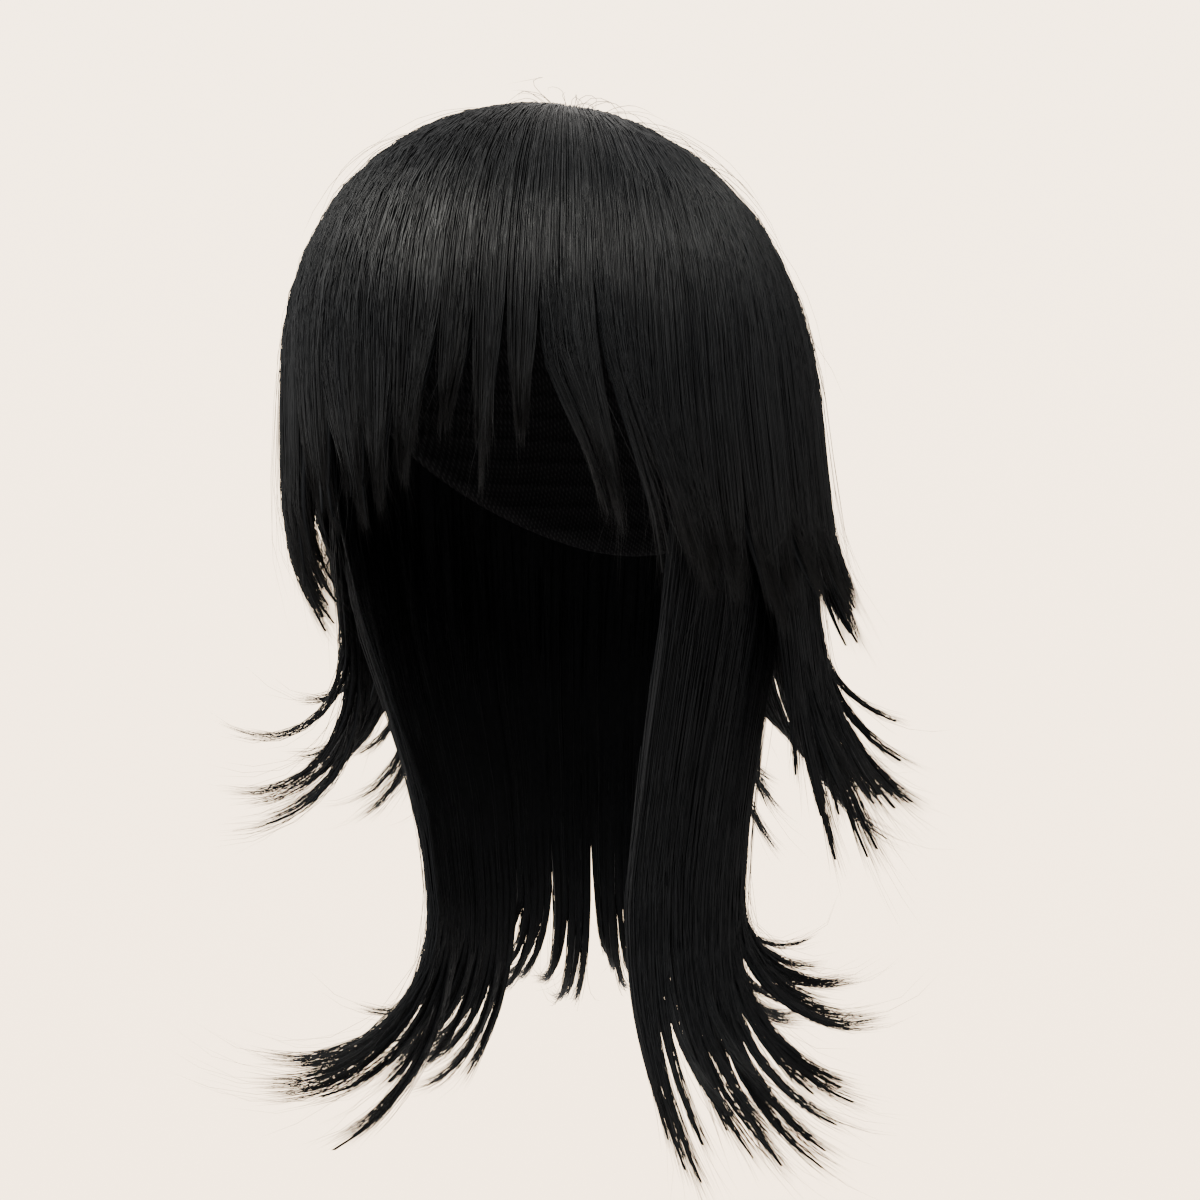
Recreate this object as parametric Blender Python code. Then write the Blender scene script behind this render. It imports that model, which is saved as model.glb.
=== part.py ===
"""Mullet wig: hair in three tiers of pointed locks, sewn on an open stretch cap.

The wearer faces -Y, their left is +X, and the origin is the inside top of the cap. Each tier is a
sheet that falls from the crown over one shared head form, splits into locks and curls out at its tips.
"""

import math
from collections import namedtuple

import bmesh
import bpy
from mathutils import Vector

# Head form that the cap fits
HEAD_WIDTH = 0.154
HEAD_DEPTH = 0.194
CROWN_HEIGHT = 0.095
WHORL_BACK = 0.014
NECK_DROP = 0.293
DOME = CROWN_HEIGHT * math.pi / 2

# Cap
CAP_WALL = 0.0015
CAP_FRONT_RIM = 58.0
CAP_NAPE_RIM = 128.0
CAP_COLUMNS = 32
CAP_ROWS = 9

# Hair
SEAT = 0.0007
SEAM = 0.0005
WHORL_RADIUS = 0.008
LOCK_COLUMNS = 2
BODY_ROWS = 7
BODY_EASE = 1.4
TIP_ROWS = 6
TIP_WIDTH = 0.0025
TIP_THICKNESS = 0.0012
TIP_NARROWING = 1.4
TIP_TURNING = 1.5
LOCK_FULLNESS = 0.97
LOCK_BULGE = 0.4
ROOT_RISE = 0.12
WHORL_SEAT = 3 * WHORL_RADIUS

TOP_LENGTH = 0.240
TOP_VOLUME = 0.019
TOP_FLARE = 0.017
TOP_ROOT_VOLUME = 0.008
TOP_THICKNESS = 0.0050
FRONT_FULLNESS = 0.008
MID_LENGTH = 0.330
MID_VOLUME = 0.0112
MID_FLARE = 0.021
MID_THICKNESS = 0.0038
MID_ROOT_ABOVE_RIM = 42.0
NAPE_LENGTH = 0.450
NAPE_VOLUME = 0.0080
NAPE_FLARE = 0.0
NAPE_THICKNESS = 0.0038
NAPE_ROOT_ABOVE_RIM = 20.0

# How the head and neck narrow below the widest level: drop is a share of NECK_DROP, width and depth
# are shares of the head's, and back is a shift as a share of half its depth.
Section = namedtuple("Section", "drop width depth back")
NARROWING = (
    Section(drop=0.00, width=1.00, depth=1.00, back=0.00),
    Section(drop=0.15, width=0.98, depth=0.94, back=0.04),
    Section(drop=0.29, width=0.92, depth=0.85, back=0.12),
    Section(drop=0.41, width=0.81, depth=0.74, back=0.20),
    Section(drop=0.53, width=0.71, depth=0.65, back=0.28),
    Section(drop=0.67, width=0.65, depth=0.60, back=0.30),
    Section(drop=1.00, width=0.67, depth=0.61, back=0.30),
)

# How much of its volume a tier has along the dome, from the whorl to the widest level
Rise = namedtuple("Rise", "along volume")
RISING = (
    Rise(along=0.00, volume=0.00),
    Rise(along=0.25, volume=0.26),
    Rise(along=0.60, volume=0.70),
    Rise(along=1.00, volume=1.00),
)

# A tier of hair. volume is how far its outer face stands off the head form at the widest level, and
# flare what it gains down to NECK_DROP. hug is how much of the neck's narrowing it follows, and lean
# how much of its shift back. start is the share of a free end that hangs straight before it curls.
Tier = namedtuple("Tier", "length volume flare root_volume thickness hug lean above_rim start")
TOP = Tier(length=TOP_LENGTH, volume=TOP_VOLUME, flare=TOP_FLARE, root_volume=TOP_ROOT_VOLUME,
           thickness=TOP_THICKNESS, hug=0.0, lean=1.4, above_rim=None, start=0.40)
MID = Tier(length=MID_LENGTH, volume=MID_VOLUME, flare=MID_FLARE,
           root_volume=CAP_WALL + SEAT + MID_THICKNESS, thickness=MID_THICKNESS, hug=0.25, lean=1.2,
           above_rim=MID_ROOT_ABOVE_RIM, start=0.34)
NAPE = Tier(length=NAPE_LENGTH, volume=NAPE_VOLUME, flare=NAPE_FLARE,
            root_volume=CAP_WALL + SEAT + NAPE_THICKNESS, thickness=NAPE_THICKNESS, hug=1.0, lean=1.0,
            above_rim=NAPE_ROOT_ABOVE_RIM, start=0.35)

# A lock lies between its own parting and the next row's. Angles are in degrees from the front (0)
# towards the wearer's left (90): root and edge are the parting's, tip is the lock's, and curl is how
# far its end turns outward. part and reach are shares of the tier's length.
Lock = namedtuple("Lock", "node root edge part tip reach curl")
TOP_LOCKS = (
    Lock("fringe", -34, -34, 0.66, -24, 0.830, -8),
    Lock("fringe", -22, -23, 0.62, -13, 0.830, -4),
    Lock("fringe", -12, -13, 0.62, -9, 0.815, -8),
    Lock("fringe", -4, -4, 0.58, -3, 0.785, -6),
    Lock("fringe", 5, 6, 0.54, 6, 0.720, -4),
    Lock("fringe", 11, 12, 0.57, 13, 0.775, 0),
    Lock("fringe", 18, 18, 0.54, 20, 0.735, 0),
    Lock("fringe", 24, 24, 0.56, 37, 0.860, -4),
    Lock("fringe", 33, 34, 0.50, 46, 0.880, -4),
    Lock("side_hair_left", 38, 38, 0.52, 55, 0.945, -14),
    Lock("side_hair_left", 50, 53, 0.72, 60, 0.940, 6),
    Lock("side_hair_left", 62, 65, 0.76, 71, 0.985, 10),
    Lock("side_hair_left", 76, 79, 0.78, 84, 0.960, 16),
    Lock("side_hair_left", 92, 94, 0.76, 98, 1.000, 20),
    Lock("side_hair_left", 108, 109, 0.76, 116, 0.970, 22),
    Lock("back_hair", 124, 124, 0.76, 131, 1.010, 20),
    Lock("back_hair", 138, 138, 0.76, 143, 0.975, 24),
    Lock("back_hair", 152, 152, 0.78, 158, 1.020, 18),
    Lock("back_hair", 166, 166, 0.76, 171, 0.985, 22),
    Lock("back_hair", 180, 180, 0.78, 186, 1.025, 18),
    Lock("back_hair", 194, 194, 0.76, 200, 0.980, 22),
    Lock("back_hair", 208, 208, 0.78, 213, 1.010, 20),
    Lock("back_hair", 222, 222, 0.76, 226, 0.975, 22),
    Lock("side_hair_right", 236, 236, 0.76, 241, 1.000, 18),
    Lock("side_hair_right", 251, 251, 0.76, 254, 0.965, 16),
    Lock("side_hair_right", 266, 266, 0.74, 270, 0.990, -12),
    Lock("side_hair_right", 281, 281, 0.68, 290, 0.980, -28),
    Lock("side_hair_right", 297, 298, 0.66, 309, 1.000, -32),
    Lock("side_hair_right", 312, 314, 0.66, 322, 0.900, -6),
    Lock(None, 326, 326, 0.66, None, None, None),
)
MID_LOCKS = (
    Lock("mid_hair_left", 78, 80, 0.66, 86, 0.980, 8),
    Lock("mid_hair_left", 90, 91, 0.62, 95, 1.000, 14),
    Lock("mid_hair_left", 101, 102, 0.60, 108, 0.985, 32),
    Lock("mid_hair_left", 113, 114, 0.64, 119, 0.980, 40),
    Lock("mid_hair_left", 125, 126, 0.62, 130, 0.985, 34),
    Lock("mid_hair_back", 138, 138, 0.64, 145, 1.010, 52),
    Lock("mid_hair_back", 151, 151, 0.62, 157, 0.950, 58),
    Lock("mid_hair_back", 164, 164, 0.64, 170, 1.020, 50),
    Lock("mid_hair_back", 177, 177, 0.62, 184, 0.960, 56),
    Lock("mid_hair_back", 190, 190, 0.64, 197, 1.010, 50),
    Lock("mid_hair_back", 203, 203, 0.62, 208, 0.950, 58),
    Lock("mid_hair_right", 216, 216, 0.64, 222, 1.000, 56),
    Lock("mid_hair_right", 229, 229, 0.62, 236, 0.955, 64),
    Lock("mid_hair_right", 242, 242, 0.60, 248, 0.990, 58),
    Lock("mid_hair_right", 255, 255, 0.62, 261, 0.945, 72),
    Lock("mid_hair_right", 268, 267, 0.60, 273, 1.040, 84),
    Lock(None, 282, 280, 0.60, None, None, None),
)
NAPE_LOCKS = (
    Lock("nape_hair_left", 66, 40, 0.74, 52, 0.950, 24),
    Lock("nape_hair_left", 78, 56, 0.70, 68, 0.965, 38),
    Lock("nape_hair_left", 90, 73, 0.72, 84, 0.980, 50),
    Lock("nape_hair_left", 102, 90, 0.70, 100, 0.965, 60),
    Lock("nape_hair_left", 114, 107, 0.68, 116, 0.915, 76),
    Lock("nape_hair_back", 126, 124, 0.68, 132, 0.890, 76),
    Lock("nape_hair_back", 140, 140, 0.70, 148, 0.930, 66),
    Lock("nape_hair_back", 154, 156, 0.70, 164, 0.895, 62),
    Lock("nape_hair_back", 168, 172, 0.70, 180, 0.940, 58),
    Lock("nape_hair_back", 182, 188, 0.70, 194, 0.900, 62),
    Lock("nape_hair_back", 196, 204, 0.70, 211, 0.930, 66),
    Lock("nape_hair_back", 210, 220, 0.70, 228, 0.895, 70),
    Lock("nape_hair_right", 228, 236, 0.70, 244, 0.960, 62),
    Lock("nape_hair_right", 244, 252, 0.72, 258, 0.930, 66),
    Lock("nape_hair_right", 258, 268, 0.70, 274, 0.980, 62),
    Lock("nape_hair_right", 274, 284, 0.66, 288, 0.960, 86),
    Lock(None, 294, 300, 0.66, None, None, None),
)

HAIR_BLACK = (0.0065, 0.0065, 0.0072, 1.0)
HAIR_ROUGHNESS = 0.35
CAP_BLACK = (0.012, 0.012, 0.013, 1.0)
CAP_ROUGHNESS = 0.8
SHARP_ANGLE = 50.0

# Steps for directions on the form, in radians round it and metres along it, and the least distance
TURN_STEP = 1e-3
ALONG_STEP = 1e-4
TOUCH = 1e-6


def between(rows, at, column):
    """Reads one column of a table at a place along its first column, in straight steps."""
    for low, high in zip(rows, rows[1:]):
        if at <= high[0]:
            share = max(0.0, (at - low[0]) / (high[0] - low[0]))
            return getattr(low, column) * (1 - share) + getattr(high, column) * share
    return getattr(rows[-1], column)


def mix(low, high, share):
    return low + (high - low) * share


def form_point(angle, along, tier=None):
    """A point of the head form, along metres from the whorl: a dome, and below it, for hair, a hang."""
    side, front = math.sin(angle), math.cos(angle)
    if along <= DOME or tier is None:
        turn = along / CROWN_HEIGHT
        spread = math.sin(turn)
        y = WHORL_BACK * (1 - spread) - HEAD_DEPTH / 2 * spread * front
        return Vector((HEAD_WIDTH / 2 * spread * side, y, CROWN_HEIGHT * (math.cos(turn) - 1)))
    drop = along - DOME
    wide, deep, back = (between(NARROWING, drop / NECK_DROP, name) for name in ("width", "depth", "back"))
    half_width = HEAD_WIDTH / 2 * mix(1, wide, tier.hug)
    half_depth = HEAD_DEPTH / 2 * mix(1, deep, tier.hug)
    shift = HEAD_DEPTH / 2 * back * tier.lean
    return Vector((half_width * side, shift - half_depth * front, -CROWN_HEIGHT - drop))


def form_normal(angle, along, tier=None):
    """Outward direction of the head form. It is level below the dome, where hair hangs free."""
    around = form_point(angle + TURN_STEP, along, tier) - form_point(angle - TURN_STEP, along, tier)
    if tier is not None and along > DOME:
        return Vector((around.y, -around.x, 0)).normalized()
    down = form_point(angle, along + ALONG_STEP, tier) - form_point(angle, along - ALONG_STEP, tier)
    return down.cross(around).normalized()


def cap_rim(angle):
    """Turn of the cap's rim from the whorl, in radians: high on the forehead, low at the nape."""
    return math.radians(mix(CAP_FRONT_RIM, CAP_NAPE_RIM, (1 - math.cos(angle)) / 2))


def root_along(tier, angle):
    """How far from the whorl a tier's roots lie."""
    if tier.above_rim is None:
        return WHORL_RADIUS
    return CROWN_HEIGHT * (cap_rim(angle) - math.radians(tier.above_rim))


def volume_at(tier, angle, along, root):
    """How far the tier's outer face stands off the head form. The top is fuller at the front."""
    flare = tier.flare * max(0.0, along - DOME) / NECK_DROP
    if tier.above_rim is None:
        share = between(RISING, along / DOME, "volume")
        fuller = FRONT_FULLNESS * math.cos(angle) * math.sin(2 * min(along, DOME) / CROWN_HEIGHT)
        return mix(tier.root_volume, tier.volume, share) + fuller + flare
    share = min(1.0, max(0.0, (along - root) / (tier.length * ROOT_RISE)))
    return mix(tier.root_volume, tier.volume, share) + flare


def curled(free, share, curl, start):
    """Outward and downward travel of a free end that hangs straight, then turns along an arc."""
    straight = min(share, start) * free
    turned = max(0.0, share - start) / (1 - start)
    if abs(curl) < TOUCH or turned == 0:
        return 0.0, straight + turned * (1 - start) * free
    radius = (1 - start) * free / curl
    return radius * (1 - math.cos(curl * turned)), straight + radius * math.sin(curl * turned)


def lock_point(tier, lock, after, across, down, depth):
    """A point of a lock: across 0 to 1, down 0 to 1 to its parting and 1 to 2 to its tip.

    depth is 0 on the outer face and 1 on the inner one.
    """
    root_angle = math.radians(mix(lock.root, after.root, across))
    edge_angle = math.radians(mix(lock.edge, after.edge, across))
    root = root_along(tier, root_angle)
    part = tier.length * mix(lock.part, after.part, across)
    body = min(down, 1.0) ** BODY_EASE
    tip = max(down - 1.0, 0.0)
    along = mix(root, part, body)
    angle = mix(root_angle, edge_angle, body)
    thickness = tier.thickness
    middle = math.sin(math.pi * across)
    outward = 0.0
    if tip > 0:
        tip_angle = math.radians(lock.tip)
        free = tier.length * lock.reach - part
        outward, fallen = curled(free, tip, math.radians(lock.curl), tier.start)
        along = part + fallen
        narrow = 1 - tip ** TIP_NARROWING
        centre = mix(math.radians((lock.edge + after.edge) / 2), tip_angle, tip ** TIP_TURNING)
        half = math.radians(after.edge - lock.edge) / 2 * LOCK_FULLNESS
        angle = centre + (2 * across - 1) * mix(TIP_WIDTH / HEAD_DEPTH, half, narrow)
        thickness = mix(TIP_THICKNESS, tier.thickness, 1 - tip)
        outward += middle * tier.thickness * LOCK_BULGE * tip * (1 - tip)
    volume = volume_at(tier, angle, along, root)
    thickness = min(thickness, volume - CAP_WALL - SEAT)
    if tier.above_rim is None:
        seated = max(0.0, 1 - along / WHORL_SEAT)
        thickness = mix(thickness, volume - CAP_WALL - SEAT, seated)
    height = volume - thickness * depth + outward
    return form_point(angle, along, tier) + form_normal(angle, along, tier) * height


def new_material(name, colour, roughness):
    material = bpy.data.materials.new(name)
    material.use_nodes = True
    shader = material.node_tree.nodes["Principled BSDF"]
    shader.inputs["Base Color"].default_value = colour
    shader.inputs["Roughness"].default_value = roughness
    shader.inputs["Metallic"].default_value = 0.0
    return material


def add_sheet(shape, inner, columns, rows, place):
    """Adds one grid to a mesh. place(column share, row share, depth) gives its outer and inner points."""
    grid = bmesh.ops.create_grid(shape, x_segments=columns, y_segments=rows, size=0.5)["verts"]
    for vertex in grid:
        across, down = vertex.co.x + 0.5, vertex.co.y + 0.5
        vertex[inner] = place(across, down, 1.0)
        vertex.co = place(across, down, 0.0)


def thicken(shape, inner):
    """Welds the grids' shared edges and closes them with an inner face at the stored points."""
    bmesh.ops.remove_doubles(shape, verts=shape.verts, dist=TOUCH)
    made = bmesh.ops.extrude_face_region(shape, geom=shape.faces[:], use_keep_orig=True)
    for item in made["geom"]:
        if isinstance(item, bmesh.types.BMVert):
            item.co = item[inner]
    bmesh.ops.recalc_face_normals(shape, faces=shape.faces)


def finish(shape, name, material, collection):
    mesh = bpy.data.meshes.new(name)
    shape.to_mesh(mesh)
    shape.free()
    mesh.materials.append(material)
    mesh.shade_smooth()
    mesh.set_sharp_from_angle(angle=math.radians(SHARP_ANGLE))
    thing = bpy.data.objects.new(name, mesh)
    collection.objects.link(thing)
    return thing


def build_cap(collection):
    """The stretch cap: one dome with a rim that drops to the nape."""
    shape = bmesh.new()
    inner = shape.verts.layers.float_vector.new("inner")

    def place(across, down, depth):
        angle = 2 * math.pi * across
        if down < TOUCH:
            return Vector((0, WHORL_BACK, CAP_WALL * (1 - depth)))
        along = CROWN_HEIGHT * cap_rim(angle) * down
        return form_point(angle, along) + form_normal(angle, along) * CAP_WALL * (1 - depth)

    add_sheet(shape, inner, CAP_COLUMNS, CAP_ROWS, place)
    thicken(shape, inner)
    return finish(shape, "cap", new_material("cap_net", CAP_BLACK, CAP_ROUGHNESS), collection)


def build_hair(node, tier, locks, material, collection):
    """One node of a tier: its locks share their partings' edges down to where they split."""
    shape = bmesh.new()
    inner = shape.verts.layers.float_vector.new("inner")
    own = [k for k, lock in enumerate(locks) if lock.node == node]
    rows = BODY_ROWS + TIP_ROWS

    for k in own:
        lock, after = locks[k], locks[k + 1]

        def place(across, row, depth, lock=lock, after=after, first=k == own[0], last=k == own[-1]):
            step = round(row * rows)
            down = step / BODY_ROWS if step <= BODY_ROWS else 1 + (step - BODY_ROWS) / TIP_ROWS
            point = lock_point(tier, lock, after, across, down, depth)
            angle = math.radians(mix(lock.edge, after.edge, across))
            if down <= 1:
                angle = math.radians(mix(lock.root, after.root, across))
            aside = Vector((math.cos(angle), math.sin(angle), 0)) * SEAM / 2
            if first and across < TOUCH:
                point += aside
            if last and across > 1 - TOUCH:
                point -= aside
            return point

        add_sheet(shape, inner, LOCK_COLUMNS, rows, place)
    if node == "back_hair":
        add_whorl(shape, inner, tier, locks)
    thicken(shape, inner)
    return finish(shape, node, material, collection)


def add_whorl(shape, inner, tier, locks):
    """The round of hair at the whorl, which the back hair carries and all other top hair meets."""
    edges = [mix(lock.root, after.root, share / LOCK_COLUMNS) for lock, after in zip(locks, locks[1:])
             for share in range(LOCK_COLUMNS)]
    ring = bmesh.ops.create_circle(shape, cap_ends=True, cap_tris=True, segments=len(edges), radius=1)
    outline = [vertex for vertex in ring["verts"] if vertex.co.length > 0.5]
    outline.sort(key=lambda vertex: math.atan2(vertex.co.y, vertex.co.x))
    own = [lock for lock in locks if lock.node == "back_hair"]
    last = locks[locks.index(own[-1]) + 1]
    for vertex, degrees in zip(outline, sorted(edges)):
        angle = math.radians(degrees)
        along = WHORL_RADIUS if own[0].root <= degrees <= last.root else WHORL_RADIUS - 2 * SEAM
        base, normal = form_point(angle, along), form_normal(angle, along)
        height = volume_at(tier, angle, along, 0)
        lower = mix(height - tier.thickness, CAP_WALL + SEAT, 1 - along / WHORL_SEAT)
        shift = Vector((math.cos(angle), math.sin(angle), 0)) * SEAM / 2
        aside = shift if degrees == own[0].root else -shift if degrees == last.root else Vector()
        vertex.co = base + normal * height + aside
        vertex[inner] = base + normal * lower + aside
    for vertex in set(ring["verts"]) - set(outline):
        vertex.co = (0, WHORL_BACK, tier.root_volume)
        vertex[inner] = (0, WHORL_BACK, CAP_WALL + SEAT)


def main():
    for thing in list(bpy.data.objects):
        bpy.data.objects.remove(thing)
    collection = bpy.data.collections.new("mullet_wig")
    bpy.context.scene.collection.children.link(collection)
    build_cap(collection)
    hair = new_material("hair", HAIR_BLACK, HAIR_ROUGHNESS)
    for tier, locks in ((TOP, TOP_LOCKS), (MID, MID_LOCKS), (NAPE, NAPE_LOCKS)):
        for node in dict.fromkeys(lock.node for lock in locks if lock.node):
            build_hair(node, tier, locks, hair, collection)


main()
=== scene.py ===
"""Mullet wig: the look of its cap and of its three tiers of hair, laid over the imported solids.

The wearer faces -Y, their left is +X, and the origin is the inside top of the cap. Each tier of hair
is drawn twice over one form: as a mass of streaked blades, one for each tuft, and as thousands of single
strands that start all over the tier, gather into tufts and thin out at their tips.
"""

import math
from collections import namedtuple

import bmesh
import bpy
import numpy as np
from bpy.props import FloatProperty, FloatVectorProperty, IntProperty, PointerProperty
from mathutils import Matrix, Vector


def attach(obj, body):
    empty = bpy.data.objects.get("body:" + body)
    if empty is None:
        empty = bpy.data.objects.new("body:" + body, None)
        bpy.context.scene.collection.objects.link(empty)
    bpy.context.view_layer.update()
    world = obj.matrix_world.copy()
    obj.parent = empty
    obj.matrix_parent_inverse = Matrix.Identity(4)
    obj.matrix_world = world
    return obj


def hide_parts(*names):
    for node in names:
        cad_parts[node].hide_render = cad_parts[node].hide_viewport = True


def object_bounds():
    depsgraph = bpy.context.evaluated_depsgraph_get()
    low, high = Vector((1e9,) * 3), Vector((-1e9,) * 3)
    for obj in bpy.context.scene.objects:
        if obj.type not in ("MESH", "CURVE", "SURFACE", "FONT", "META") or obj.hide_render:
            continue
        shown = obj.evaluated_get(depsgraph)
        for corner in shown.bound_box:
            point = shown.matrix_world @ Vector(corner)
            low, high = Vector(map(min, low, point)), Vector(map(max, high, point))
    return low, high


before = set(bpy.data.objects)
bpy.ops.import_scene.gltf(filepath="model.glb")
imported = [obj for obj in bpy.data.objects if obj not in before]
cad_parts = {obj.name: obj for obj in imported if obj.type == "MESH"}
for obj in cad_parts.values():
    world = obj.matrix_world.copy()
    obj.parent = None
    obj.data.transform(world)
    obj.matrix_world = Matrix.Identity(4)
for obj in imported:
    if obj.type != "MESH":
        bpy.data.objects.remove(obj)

bl_info = {
    "name": "Mullet wig",
    "version": (1, 0, 0),
    "blender": (4, 5, 0),
    "location": "View3D > Sidebar > Wig",
    "description": "Builds the cap and the layered hair of a mullet wig, with a plain studio",
    "category": "Object",
}

CAD_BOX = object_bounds()

# Form inside the wig, in metres
FORM_WIDTH = 0.154
FORM_DEPTH = 0.194
CROWN_HEIGHT = 0.095
WHORL_BACK = 0.014
HANG_DROP = 0.293
DOME = CROWN_HEIGHT * math.pi / 2

# Cap
CAP_WALL = 0.0015
CAP_FRONT_RIM = 58.0
CAP_NAPE_RIM = 128.0
CAP_COLUMNS = 96
CAP_ROWS = 30

# Small amounts: how near the whorl hair may start, what is merged into one point, the steps over which
# a direction is measured, and the least curl and length that anything is divided by
CENTRE = 0.00001
WELD = 0.00003
LENGTH_STEP = 0.0001
ANGLE_STEP = 0.001
LEAST_CURL = 0.0001
LEAST_LENGTH = 1e-15

# Form of the hair: ROOT_RISE is the share of a hanging tier's length in which it gains its volume
SEAT = 0.0007
FRONT_FULLNESS = 0.008
TIP_THICKNESS = 0.0012
SHORTEST_END = 0.02
ROOT_RISE = 0.12

# Blades of the mass: BODY_SHARE of their rows lie above the parting. The depths are those of the mass
# above the parting and at a free side of its tier.
BLADE_NARROWING = 0.25
TUFT_COLUMNS = 2
TUFT_ROWS = 24
BODY_SHARE = 0.5
MASS_BODY_DEPTH = 0.60
MASS_SIDE_DEPTH = 0.90
SIDE_FADE = 0.5

# How tufts differ: aside in widths of their lock, shorter towards its sides by TUFT_ARCH and anywhere by
# up to TUFT_UNEVEN of its free end, and curl in degrees
TUFT_ASIDE = 0.05
TUFT_ARCH = 0.35
TUFT_UNEVEN = 0.20
TUFT_CURL = 6.0

# Where strands start: on the top tier within a share of the dome's radius, packed towards the whorl, and
# on a hanging tier from HANGING_STARTS of the way down to the parting, over HANGING_SPREAD of it
CROWN_STARTS = 0.85
CROWN_PACKING = 2.2
HANGING_STARTS = 0.05
HANGING_SPREAD = 0.85

# How strands, strays, wisps and flyaways differ: aside in widths of their lock, curl in degrees, reach as
# a share of the tuft's free end, lift and a flyaway's length in metres, and wave in radians. A pair is
# the least and the most.
STRAND_ASIDE = 0.045
STRAY_ASIDE = 0.4
STRAND_CURL = 3.0
STRAY_CURL = 14.0
STRAND_REACH = 1.06
STRAND_UNEVEN = 0.08
WISP_REACH = (0.05, 0.30)
STRAND_LIFT = 0.0005
LIFT_LATENESS = 1.5
STRAND_WAVE = 0.0018
STRAY_WAVE = 2
WAVE_TURN = 7.0
WAVE_FADE = 0.5
FLYAWAY_LENGTH = (0.03, 0.09)
FLYAWAY_LIFT = 0.001
FLYAWAY_SHARE = 0.7
FLYAWAY_TURN = 0.7
FLYAWAY_WAVE = 0.09

# How deep strands lie, 0 on the outer face and 1 on the inner one. Roots lie deeper by BURIED, until
# BURIED_FADE times the share of the strand's run makes 1.
INNER_DEPTH = (0.75, 1.08)
PROUD = -0.08
BURIED = 0.5
BURIED_FADE = 2.5

# ARCH_SHARE of the bulge between two bends is added over the dome, and a strand is cut short where it
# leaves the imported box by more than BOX_SHARE of its size and BOX_SPARE
ARCH_SHARE = 0.6
BOX_SHARE = 0.02
BOX_SPARE = 0.009

# Width along a strand, widths as shares of the usual one, and shades from dark at 0 to light at 1
TAPER_PLACES = (0.0, 0.15, 0.6, 1.0)
TAPER_WIDTHS = (0.55, 1.0, 0.95, 0.42)
STRAND_WIDTHS = (0.7, 1.25)
FINE_WIDTH = 0.55
SHADE_MIDDLE = 0.35
SHADE_SPREAD = 0.22
TUFT_SHADES = 5
TUFT_SHADE_STEP = 0.05

# Finishes: what a pattern adds to roughness, relief or brightness, how much painted shade darkens the
# backdrop towards the floor, and how late and how far a strand takes the colour of its tip
TIP_LATENESS = 8.0
TIP_BLEND = 0.5
SHADE_ROUGHNESS = 0.12
STREAK_RELIEF = 0.7
BAND_RELIEF = 0.6
MASS_ROUGHNESS = 0.1
STREAK_ROUGHNESS = 0.15
MASS_GLOSS = 0.5
WEFT_SHARPNESS = 3.0
YARN_RELIEF = 0.25
NET_ROUGHNESS = 0.75
WEFT_ROUGHNESS = 0.15
# Painted shade: the next value is how much darker the backdrop is painted towards the floor
PAINTED_WALL_SHADE = 0.8
WALL_CLOUDS = 0.2

# How a lock opens into tufts: lock and tuft say how late the hair turns towards its lock's tip and its
# tuft's, spread how far apart the tips lie in widths of the lock, fan how differently and more how much
# further than the lock they curl in degrees, and longest the reach of a middle tuft as a share of the
# lock's free end. segments is how many parts a strand bends in, which bunch packs towards the crown
# above 1 and towards the tips below it.
Opening = namedtuple("Opening", "lock tuft spread fan more longest segments bunch")
OPENINGS = {
    "fringe": Opening(1.45, 2.6, 0.34, 0, 0, 1.10, 10, 1.35),
    "side": Opening(2.0, 3.2, 0.45, 8, 0, 1.12, 10, 1.35),
    "back": Opening(2.0, 3.2, 0.45, 8, 0, 1.10, 10, 1.35),
    "mid": Opening(1.9, 3.0, 0.60, 44, 4, 1.16, 8, 0.60),
    "mid_hair_left": Opening(1.7, 3.0, 1.00, 40, 8, 1.04, 8, 0.60),
    "nape": Opening(1.9, 3.0, 0.62, 30, 16, 1.16, 8, 0.55),
    "nape_hair_right": Opening(1.6, 2.6, 0.72, 40, 2, 1.26, 8, 0.55),
}

# How the form narrows below the dome: drop is a share of HANG_DROP, and the rest are shares of its width
# and half its depth at the dome
Section = namedtuple("Section", "drop width depth back")
NARROWING = (
    Section(drop=0.00, width=1.00, depth=1.00, back=0.00),
    Section(drop=0.15, width=0.98, depth=0.94, back=0.04),
    Section(drop=0.29, width=0.92, depth=0.85, back=0.12),
    Section(drop=0.41, width=0.81, depth=0.74, back=0.20),
    Section(drop=0.53, width=0.71, depth=0.65, back=0.28),
    Section(drop=0.67, width=0.65, depth=0.60, back=0.30),
    Section(drop=1.00, width=0.67, depth=0.61, back=0.30),
)

# How the top tier gains its volume between the whorl and the foot of the dome
Rise = namedtuple("Rise", "along volume")
RISING = (
    Rise(along=0.00, volume=0.00),
    Rise(along=0.25, volume=0.26),
    Rise(along=0.60, volume=0.70),
    Rise(along=1.00, volume=1.00),
)

# A tier of hair: volume is how far its outer face stands off the form, root_volume the same at the roots,
# flare what it gains down to HANG_DROP, and hug and lean how closely it follows the form's narrowing.
# above_rim says how many degrees above the cap's rim it is rooted, None that it starts at the whorl.
# start is the straight share of a free end, and seed fixes the random numbers.
Tier = namedtuple("Tier", "length volume flare root_volume thickness hug lean above_rim start seed")
TOP = Tier(length=0.240, volume=0.019, flare=0.017, root_volume=0.008, thickness=0.0050,
           hug=0.0, lean=1.4, above_rim=None, start=0.40, seed=11)
MID = Tier(length=0.330, volume=0.0112, flare=0.021, root_volume=0.0060, thickness=0.0038,
           hug=0.25, lean=1.2, above_rim=42.0, start=0.34, seed=31)
NAPE = Tier(length=0.450, volume=0.0080, flare=0.0, root_volume=0.0060, thickness=0.0038,
            hug=1.0, lean=1.0, above_rim=20.0, start=0.35, seed=51)

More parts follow.
